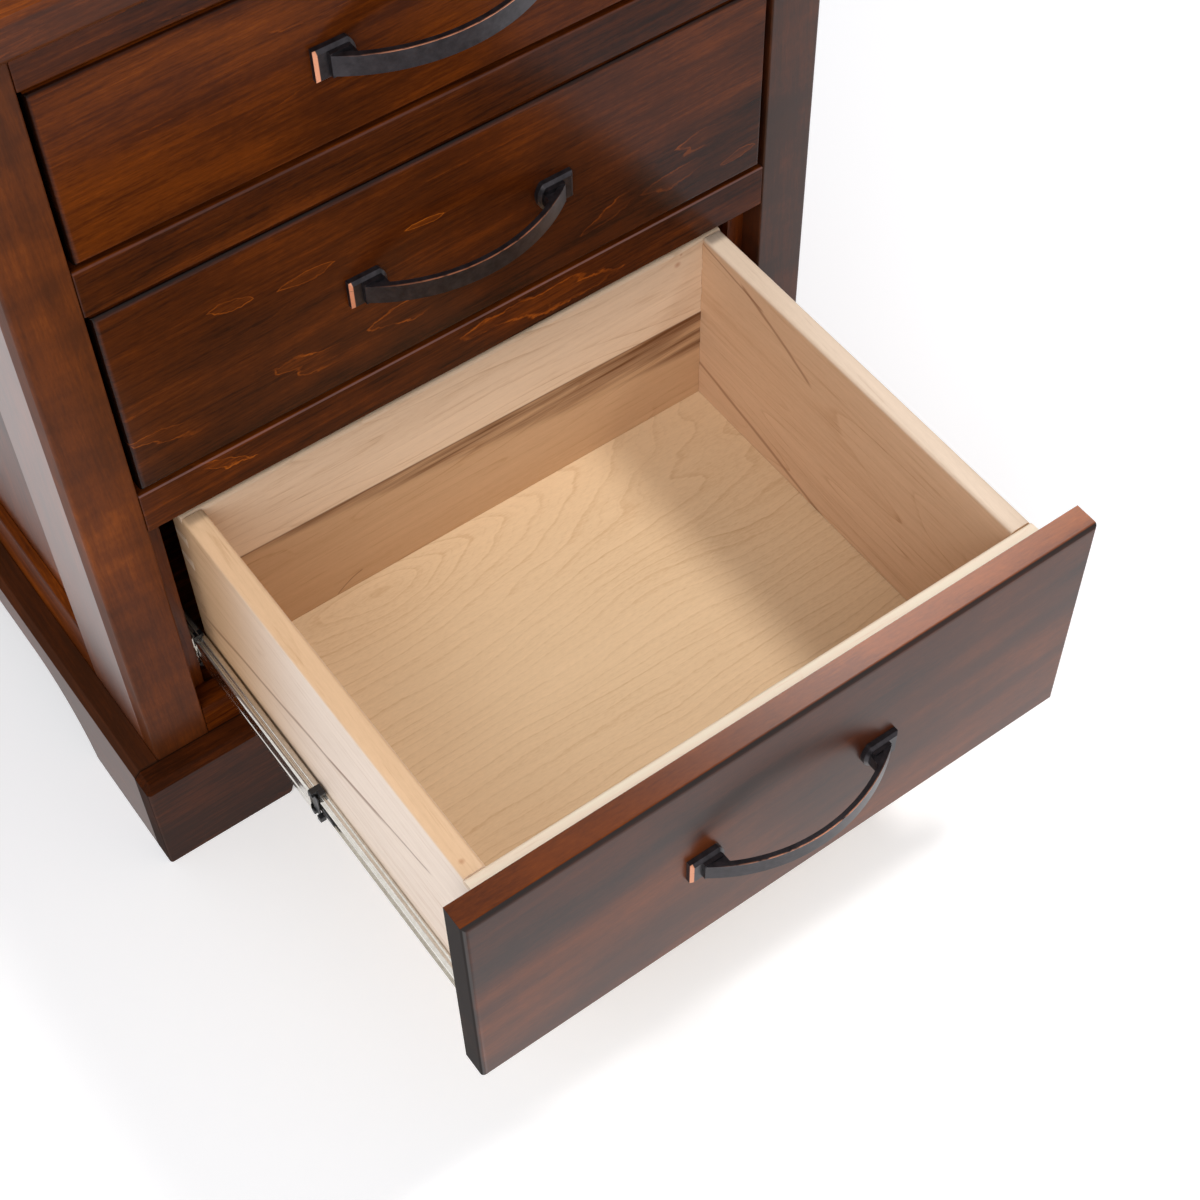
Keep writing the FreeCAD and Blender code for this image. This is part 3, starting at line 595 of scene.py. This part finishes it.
DRAWERS = ("bottom", "middle", "top")
SEAM_ABOVE_MIDDLE = 0.0193
LEFT_MARKS = (((-0.390, 0.196), (-0.640, 0.245), 0.0034, 0.0),
              ((-0.560, 0.230), (-0.690, 0.258), 0.0022, 0.0))
LEFT_KNOTS = (((-0.212, -0.717, 0.3112), 0.0030), ((-0.215, -0.388, 0.311), 0.009))
RIGHT_MARKS = (((-0.385, 0.310), (-0.475, 0.296), 0.0013, 0.0),
               ((-0.445, 0.303), (-0.530, 0.268), 0.0026, 0.002),
               ((-0.385, 0.186), (-0.560, 0.147), 0.0026, 0.001))
RIGHT_KNOTS = (((0.212, -0.390, 0.311), 0.011),)
BACK_MARKS = (((-0.122, 0.150), (-0.098, 0.163), 0.0010, 0.002),)
BACK_KNOTS = (((0.180, -0.403, 0.2990), 0.0040), ((0.183, -0.403, 0.3070), 0.0018))
for number, name in enumerate(DRAWERS):
    seed = 51.0 + 8 * number
    opened = name == "bottom"
    low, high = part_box(f"drawer_{name}_left_side")
    # The drawer sides are painted darker and warmer towards the rear, as shade from the case.
    rear = ((206, 168, 130), low.y + 0.17, high.y - 0.03)
    left = natural_maple(f"{name}_left_wood", "y", seed, (240, 220, 203), figure=0.35, rear=rear,
                         top=(231, 192, 152), marks=LEFT_MARKS if opened else (),
                         knots=LEFT_KNOTS if opened else ())
    right = natural_maple(f"{name}_right_wood", "y", seed + 1, (205, 170, 139),
                          top=(226, 202, 178), marks=RIGHT_MARKS if opened else (),
                          knots=RIGHT_KNOTS if opened else ())
    seam = (high.z + low.z) / 2 + SEAM_ABOVE_MIDDLE
    back = natural_maple(f"{name}_back_wood", "x", seed + 2, (238, 214, 188),
                         glued=((206, 170, 134), seam, -0.02), top=(250, 220, 188),
                         marks=BACK_MARKS if opened else (), knots=BACK_KNOTS if opened else ())
    front = natural_maple(f"{name}_box_front_wood", "x", seed + 3, (244, 220, 192),
                          top=(253, 231, 206))
    for board, wood in (("left_side", left), ("right_side", right), ("back", back),
                        ("box_front", front)):
        eased(f"drawer_{name}_{board}", wood, 0.0004)


# Drawer bottoms
# Maple plywood in a groove all round. Its rotary-cut face veneer has long oval rings about a
# point near the back left corner, and wavy lines along the rest.
def veneer(name, seed, centre):
    """Rotary-cut maple veneer. Its lines are contours of the distance from the centre, where
    x counts a third, and less still towards the front, with noise added."""
    material, start = new_material(name)
    place = grain_space(start, "x", seed, 0.02)
    spot = start.add("TexCoord", output="Object")
    offset = spot.part("x") - centre[0]
    down = spot.part("y") * -1 + centre[1]
    bulge = offset * offset * 0.105 * down.between(0.115, 0.02)
    sway = place.noise((4.5, 9.0, 9.0), 1.0, 0.4, 1.0) * 0.060
    crowd = place.noise((7.0, 34.0, 34.0), 1.0, 0.5, 6.0) * 0.016
    ripple = place.noise((26.0, 70.0, 70.0), 3.0, 0.6, 2.0) * 0.006
    reach = (down * down + bulge + 0.00002).root() + sway + crowd + ripple
    rings = (reach * 112.0).fraction()
    line = rings.between(0.24, 0.04) * rings.between(0.0, 0.04)
    between = (reach * 301.0 + 0.3).fraction()
    faint = between.between(0.30, 0.05) * between.between(0.0, 0.05)
    bands = place.noise((3.0, 12.0, 12.0), 2.0, 0.5, 5.0) - 0.5
    streaks = place.noise((12.0, 260.0, 260.0), 3.0, 0.6, 7.0) - 0.5
    flecks = place.noise((220.0, 900.0, 900.0), 2.0, 0.5, 9.0) - 0.5
    shown = place.noise((6.0, 14.0, 14.0), 2.0, 0.5, 13.0).between(0.30, 0.62) * 0.7 + 0.3
    level = (bands * 0.36 + streaks * 0.32 + flecks * 0.40 - line * shown * 0.14
             - faint * shown * 0.07 + (rings - 0.5) * 0.07 + 0.57)
    colour = level.add("ValToRGB", {"stops": shades((232, 203, 165))}, {0: level})
    finish_surface(start, colour, flecks * 0.00003, roughness=0.6, specular_ior_level=0.15)
    return material


for number, name in enumerate(DRAWERS):
    low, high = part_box(f"drawer_{name}_bottom")
    wood = veneer(f"{name}_bottom_veneer", 81.0 + number, (-0.094 + 0.12 * number, high.y - 0.02))
    eased(f"drawer_{name}_bottom", wood, 0.0)


# Pulls
# Cast bow pulls in an oil-rubbed bronze finish, with copper along the strap's top front
# arris and on the bevel at the outer end of the left foot: partly rubbed bare by wear and
# partly a painted highlight, where light from above and the left catches these edges.
PULL_HALF = 0.083
STRAP_RADIUS = 0.1243
STRAP_REACH = 0.033
STRAP_HALF_HEIGHT = 0.007
BRONZE = ((0.3, linear(34, 31, 34)), (0.7, linear(58, 54, 58)))
COPPER = linear(220, 150, 116)


def oiled_bronze(name, face, level):
    """Dark bronze on a pull whose feet stand on a face of constant y, centred at a height. The
    strap's front follows a circle, so its arrises are where the distance from that circle's
    centre is its radius and the height is half the strap's."""
    material, start = new_material(name)
    spot = start.add("TexCoord", output="Object")
    across = abs(spot.part("x"))
    out = face - spot.part("y")
    height = spot.part("z") - level
    brushed = spot.noise((60.0, 60.0, 900.0), 2.0, 0.5)
    mottle = spot.noise((180.0, 180.0, 180.0), 3.0, 0.6, 2.0)
    worn = spot.noise((120.0, 120.0, 700.0), 2.0, 0.6, 4.0)
    dark = mottle.add("ValToRGB", {"stops": BRONZE}, {0: mottle})
    # Copper on the outer end bevel of the left foot only: part wear, part painted highlight of the
    # light from the left.
    end_wear_and_highlight = across.between(PULL_HALF - 0.0023, PULL_HALF - 0.0017) * out.between(0.0030, 0.0038)
    end_wear_and_highlight = end_wear_and_highlight * spot.part("x").between(0.06, -0.06)
    from_centre = out - (STRAP_REACH - STRAP_RADIUS)
    radius = (across * across + from_centre * from_centre).root()
    # Copper on the strap's top front arris, strongest mid-length: part wear, part painted highlight
    # of the light from above.
    arris = radius.between(STRAP_RADIUS - 0.0009, STRAP_RADIUS - 0.0004)
    arris = arris * height.between(STRAP_HALF_HEIGHT - 0.0008, STRAP_HALF_HEIGHT - 0.0003)
    arris = arris * across.between(0.072, 0.035) * worn.between(0.30, 0.55)
    wear_and_highlight = end_wear_and_highlight * worn.between(0.25, 0.4) + arris * 0.8
    colour = dark.mixed(COPPER, wear_and_highlight)
    finish_surface(start, colour, brushed * 0.00004, metallic=0.7, roughness=0.34)
    return material


for name in DRAWERS:
    low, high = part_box(f"pull_{name}")
    bronze = oiled_bronze(f"pull_{name}_bronze", high.y, (low.z + high.z) / 2)
    eased(f"pull_{name}", bronze, 0.0005)


# Slides
# Three-member ball-bearing slides, rolled from bright zinc-plated strip with a raceway pressed
# into each flange. Black plastic parts hold the balls and lock the drawer member.
BEND_POINTS = 7


def unit(vectors):
    """The same directions with a length of 1."""
    return vectors / np.linalg.norm(vectors, axis=-1, keepdims=True)


def rolled_section(corners, radii, gauge):
    """A rolled strip's section. The centre line goes through the corners, and each inner corner
    is replaced by the curve (1-t)^2 A + 2t(1-t) C + t^2 B, where C is the corner and A and B
    lie a radius before and after it. Half the gauge along the normal gives both faces."""
    corners = np.array(corners, float)
    before, corner, after = corners[:-2], corners[1:-1], corners[2:]
    reach = np.array(radii, float)[:, None]
    first = (corner + unit(before - corner) * reach)[:, None]
    last = (corner + unit(after - corner) * reach)[:, None]
    t = np.linspace(0, 1, BEND_POINTS)[None, :, None]
    bends = (1 - t) ** 2 * first + 2 * t * (1 - t) * corner[:, None] + t ** 2 * last
    line = np.vstack([corners[:1], bends.reshape(-1, 2), corners[-1:]])
    run = np.concatenate([[0], np.cumsum(np.linalg.norm(np.diff(line, axis=0), axis=1))])
    along = unit(np.gradient(line, run, axis=0))
    normal = np.stack([-along[:, 1], along[:, 0]], axis=1) * gauge / 2
    return np.vstack([line + normal, (line - normal)[::-1]])


def extruded(name, outlines, material, body, nodes, ease, order=(0, 1, 2)):
    """Closed outlines in x and z, each carried straight along y from one value to another: point
    k of ring j is (x_k, y_j, z_k), its numbers then put in another order where one is given.
    Every outline has a mirror image at -x for the right slide."""
    points, faces = [], []
    for outline, first, last in outlines:
        outline = np.array(outline, float)
        count = len(outline)
        for side in (1, -1):
            rings = np.empty((2, count, 3))
            rings[:, :, order[0]] = outline[:, 0]
            rings[:, :, order[1]] = np.array([[first], [last]])
            rings[:, :, order[2]] = outline[:, 1]
            rings[:, :, 0] *= side
            start = sum(len(block) for block in points)
            k = np.arange(count)
            following = (k + 1) % count
            walls = np.stack([k, following, following + count, k + count], axis=1) + start
            i = np.arange(count // 2 - 1)
            cap = np.stack([i, i + 1, count - 2 - i, count - 1 - i], axis=1) + start
            points.append(rings.reshape(-1, 3))
            faces.extend([walls, cap, cap + count])
    mesh = bpy.data.meshes.new(name)
    mesh.from_pydata(np.vstack(points).tolist(), [], np.vstack(faces).tolist())
    work = bmesh.new()
    work.from_mesh(mesh)
    bmesh.ops.remove_doubles(work, verts=work.verts, dist=1e-6)
    bmesh.ops.recalc_face_normals(work, faces=work.faces)
    work.to_mesh(mesh)
    work.free()
    return finish_piece(name, mesh, material, body, nodes, ease)


ZINC = ((0.3, linear(196, 190, 180)), (0.7, linear(238, 235, 228)))
PLASTIC = ((0.3, linear(14, 14, 16)), (0.7, linear(26, 26, 29)))
zinc, start = new_material("bright_zinc")
place = start.add("TexCoord", output="Object")
streaks = place.noise((900.0, 8.0, 900.0), 2.0, 0.5)
speckle = place.noise((500.0, 260.0, 500.0), 2.0, 0.6, 3.0)
shade = start.add("ValToRGB", {"stops": ZINC}, {0: streaks * 0.6 + speckle * 0.4})
# Faces that look up are made less metallic, so the lamps light their pale colour: a stand-in
# highlight on the flanges' tops.
tops_highlight = facing(start, "z").between(0.6, 0.95)
finish_surface(start, shade, streaks * 0.00002, metallic=tops_highlight * -0.2 + 1.0, roughness=0.16)
plastic, start = new_material("black_plastic")
place = start.add("TexCoord", output="Object")
texture = place.noise((700.0, 700.0, 700.0), 2.0, 0.5)
shade = start.add("ValToRGB", {"stops": PLASTIC}, {0: texture})
finish_surface(start, shade, texture * 0.00003, roughness=0.38)

GAUGE = 0.0012


def channel_section(web, tip, half_height, lip, groove, rib):
    """A lipped channel's section about height 0. The web stands at one x and the flanges reach to
    another, each with a groove of a depth in its middle past which it falls a little to its
    tip, and the web has a shallow rib."""
    turn = 1 if tip > web else -1
    web_line = web + turn * GAUGE / 2
    tip_line = tip - turn * GAUGE / 2
    top = half_height - GAUGE / 2
    middle = (web_line + tip_line) / 2 - turn * 0.0005
    upper = np.array([
        (tip_line, half_height - lip), (tip_line, top - 0.0015), (middle + turn * 0.0014, top),
        (middle + turn * 0.0007, top - groove), (middle - turn * 0.0007, top - groove),
        (middle - turn * 0.0014, top), (web_line, top), (web_line, half_height * 0.42),
        (web_line + turn * rib, half_height * 0.42 - 0.0009)])
    corners = np.vstack([upper, upper[::-1] * (1, -1)])
    radii = np.array([0.0007, 0.0003, 0.0003, 0.0003, 0.0003, 0.0016, 0.0004, 0.0004])
    return rolled_section(corners, np.concatenate([radii, radii[::-1]]), GAUGE)


MEMBERS = {
    "outer": {"web": -0.2307, "tip": -0.2212, "half_height": 0.0175, "lip": 0.0032,
              "groove": 0.0008, "rib": 0.0008},
    "intermediate": {"web": -0.2289, "tip": -0.2197, "half_height": 0.01325, "lip": 0.0030,
                     "groove": 0.0008, "rib": 0.0006},
    "inner": {"web": -0.2180, "tip": -0.2257, "half_height": 0.0085, "lip": 0.0026,
              "groove": 0.0005, "rib": 0.0006},
}
MIDDLE_WEB = MEMBERS["intermediate"]["web"]
OUTER_WEB_FACE = MEMBERS["outer"]["web"] + GAUGE
INNER_WEB_FACE = MEMBERS["inner"]["web"] - GAUGE
LEVER = np.array([(0.001, -0.0075), (-0.006, -0.0060), (-0.012, -0.0048), (-0.012, -0.0040),
                  (-0.006, -0.0005), (0.001, 0.0015)])
LEVER_SIDES = (-0.2256, -0.2236)


def block(at, x_low, x_high, z_low, z_high):
    """A rectangle about a point, listed so that its first and last halves face each other."""
    return np.array([(x_low, z_low), (x_low, z_high), (x_high, z_high), (x_high, z_low)]) + at


for name in DRAWERS:
    for member, values in MEMBERS.items():
        node = f"slide_{member}_{name}"
        low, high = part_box(node)
        section = channel_section(**values) + (0, (low.z + high.z) / 2)
        extruded(node + "_strip", [(section, low.y, high.y)], zinc, body_of[node],
                 [node], 0.0002)
    low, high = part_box(f"slide_retainers_{name}")
    level = (low.z + high.z) / 2
    rear, front = high.y, low.y
    at = (MIDDLE_WEB, level)
    collar = [
        (block(at, 0, 0.0092, 0.0102, 0.0134), rear - 0.0045, rear),
        (block(at, 0.0043, 0.0092, 0.0100, 0.0130), rear - 0.0085, rear - 0.0040),
        (block(at, 0, 0.0017, 0.0080, 0.0125), rear - 0.0045, rear),
        (block(at, 0.0017, 0.0027, -0.0125, 0.0110), front + 0.0030, rear),
        (block(at, 0, 0.0079, -0.0134, -0.0106), rear - 0.0030, rear),
        (block(at, -0.0001, 0.0027, -0.0134, -0.0090), rear - 0.0040, rear - 0.0010),
        (block(at, -0.0003, 0.0044, -0.0134, -0.0085), front, rear - 0.0075),
    ]
    extruded(f"slide_retainers_{name}_collar", collar, plastic, body_of[f"slide_retainers_{name}"],
             [f"slide_retainers_{name}"], 0.0005)
    extruded(f"slide_levers_{name}", [(LEVER + (front, level), *LEVER_SIDES)], plastic,
             body_of[f"slide_inner_{name}"], [], 0.0003, (1, 0, 2))
    low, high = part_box(f"slide_outer_{name}")
    at = (OUTER_WEB_FACE, (low.z + high.z) / 2)
    front = low.y
    cages = [
        (block(at, 0.0005, 0.0069, 0.0139, 0.0160), front + 0.0010, front + 0.0200),
        (block(at, 0.0005, 0.0069, -0.0160, -0.0139), front + 0.0010, front + 0.0200),
        (block(at, 0, 0.0004, -0.0150, 0.0150), front + 0.0010, front + 0.0060),
        (block(at, 0, 0.0081, 0.0138, 0.0173), front - 0.0006, front + 0.0040),
        (block(at, 0, 0.0081, -0.0173, -0.0138), front - 0.0006, front + 0.0040),
    ]
    extruded(f"slide_cages_{name}", cages, plastic, "cabinet", [], 0.0004)


# Screws
# Bright zinc screws with a cross recess. Two hold each pull from inside the box, and three
# flat ones hold each fixed member and each drawer member of a slide.
HEAD_RINGS = 14
HEAD_SIDES = 48
RECESS_HALF_WIDTH = 0.15
RECESS_REACH = 0.55
RECESS_DEPTH = 0.45
SUNK = 0.0003


def screw_heads(name, places, out, radius, rise, body):
    """Round heads that face one way. At a share r of the radius and an angle, the height is
    the rise times 1 - r^4, less a part of it where the point is near one of two crossed lines
    and not far from the middle. A flat back closes each head inside what it holds."""
    share, angle = np.meshgrid(np.linspace(0, 1, HEAD_RINGS + 1)[1:],
                               np.arange(HEAD_SIDES) * 2 * pi / HEAD_SIDES, indexing="ij")
    u, v = share * np.cos(angle), share * np.sin(angle)
    near, far = np.minimum(abs(u), abs(v)), np.maximum(abs(u), abs(v))
    recess = (near < RECESS_HALF_WIDTH) & (far < RECESS_REACH)
    height = rise * (1 - share ** 4 - recess * RECESS_DEPTH)
    local = np.stack([u * radius, v * radius, height], axis=2).reshape(-1, 3)
    top = [[0, 0, (1 - RECESS_DEPTH) * rise]]
    back = local[-HEAD_SIDES:] * (1, 1, 0) - (0, 0, SUNK)
    local = np.vstack([local, top, back, [[0, 0, -SUNK]]])
    out = np.array(out, float)
    upward = np.array([0.0, 0.0, 1.0])
    head = local @ np.stack([np.cross(upward, out), upward, out])
    k = np.arange(HEAD_SIDES)
    following = (k + 1) % HEAD_SIDES
    rows = np.arange(HEAD_RINGS - 1)[:, None] * HEAD_SIDES
    walls = np.stack([rows + k, rows + following, rows + following + HEAD_SIDES,
                      rows + k + HEAD_SIDES], axis=2).reshape(-1, 4)
    middle = HEAD_RINGS * HEAD_SIDES
    rim = middle - HEAD_SIDES
    below = middle + 1
    sides = np.stack([rim + k, rim + following, below + following, below + k], axis=1)
    fans = [np.stack([np.full(HEAD_SIDES, middle), k, following], axis=1),
            np.stack([np.full(HEAD_SIDES, below + HEAD_SIDES), below + k, below + following],
                     axis=1)]
    points, faces = [], []
    for place in places:
        start = len(points) * len(head)
        points.append(head + place)
        for group in (walls, sides, *fans):
            faces.extend((group + start).tolist())
    mesh = bpy.data.meshes.new(name)
    mesh.from_pydata(np.vstack(points).tolist(), [], faces)
    work = bmesh.new()
    work.from_mesh(mesh)
    bmesh.ops.recalc_face_normals(work, faces=work.faces)
    work.to_mesh(mesh)
    work.free()
    return finish_piece(name, mesh, zinc, body, [])


PULL_SCREW_X = 0.064
PULL_SCREW = {"radius": 0.0045, "rise": 0.0024}
SLIDE_SCREW = {"radius": 0.0034, "rise": 0.0011}
SCREW_SHARES = (0.1, 0.45, 0.9)
for name in DRAWERS:
    low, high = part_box(f"pull_{name}")
    inner_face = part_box(f"drawer_{name}_box_front")[1].y
    places = [(side * PULL_SCREW_X, inner_face, (low.z + high.z) / 2) for side in (-1, 1)]
    screw_heads(f"pull_screws_{name}", places, (0, 1, 0),
                body=body_of[f"drawer_{name}_box_front"], **PULL_SCREW)
    for member, face, turn, body in (("outer", OUTER_WEB_FACE, 1, "cabinet"),
                                     ("inner", INNER_WEB_FACE, -1, body_of[f"slide_inner_{name}"])):
        low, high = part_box(f"slide_{member}_{name}")
        for side, sign in (("left", 1), ("right", -1)):
            places = [(sign * face, low.y + share * (high.y - low.y), (low.z + high.z) / 2)
                      for share in SCREW_SHARES]
            screw_heads(f"slide_screws_{member}_{name}_{side}", places, (sign * turn, 0, 0),
                        body=body, **SLIDE_SCREW)
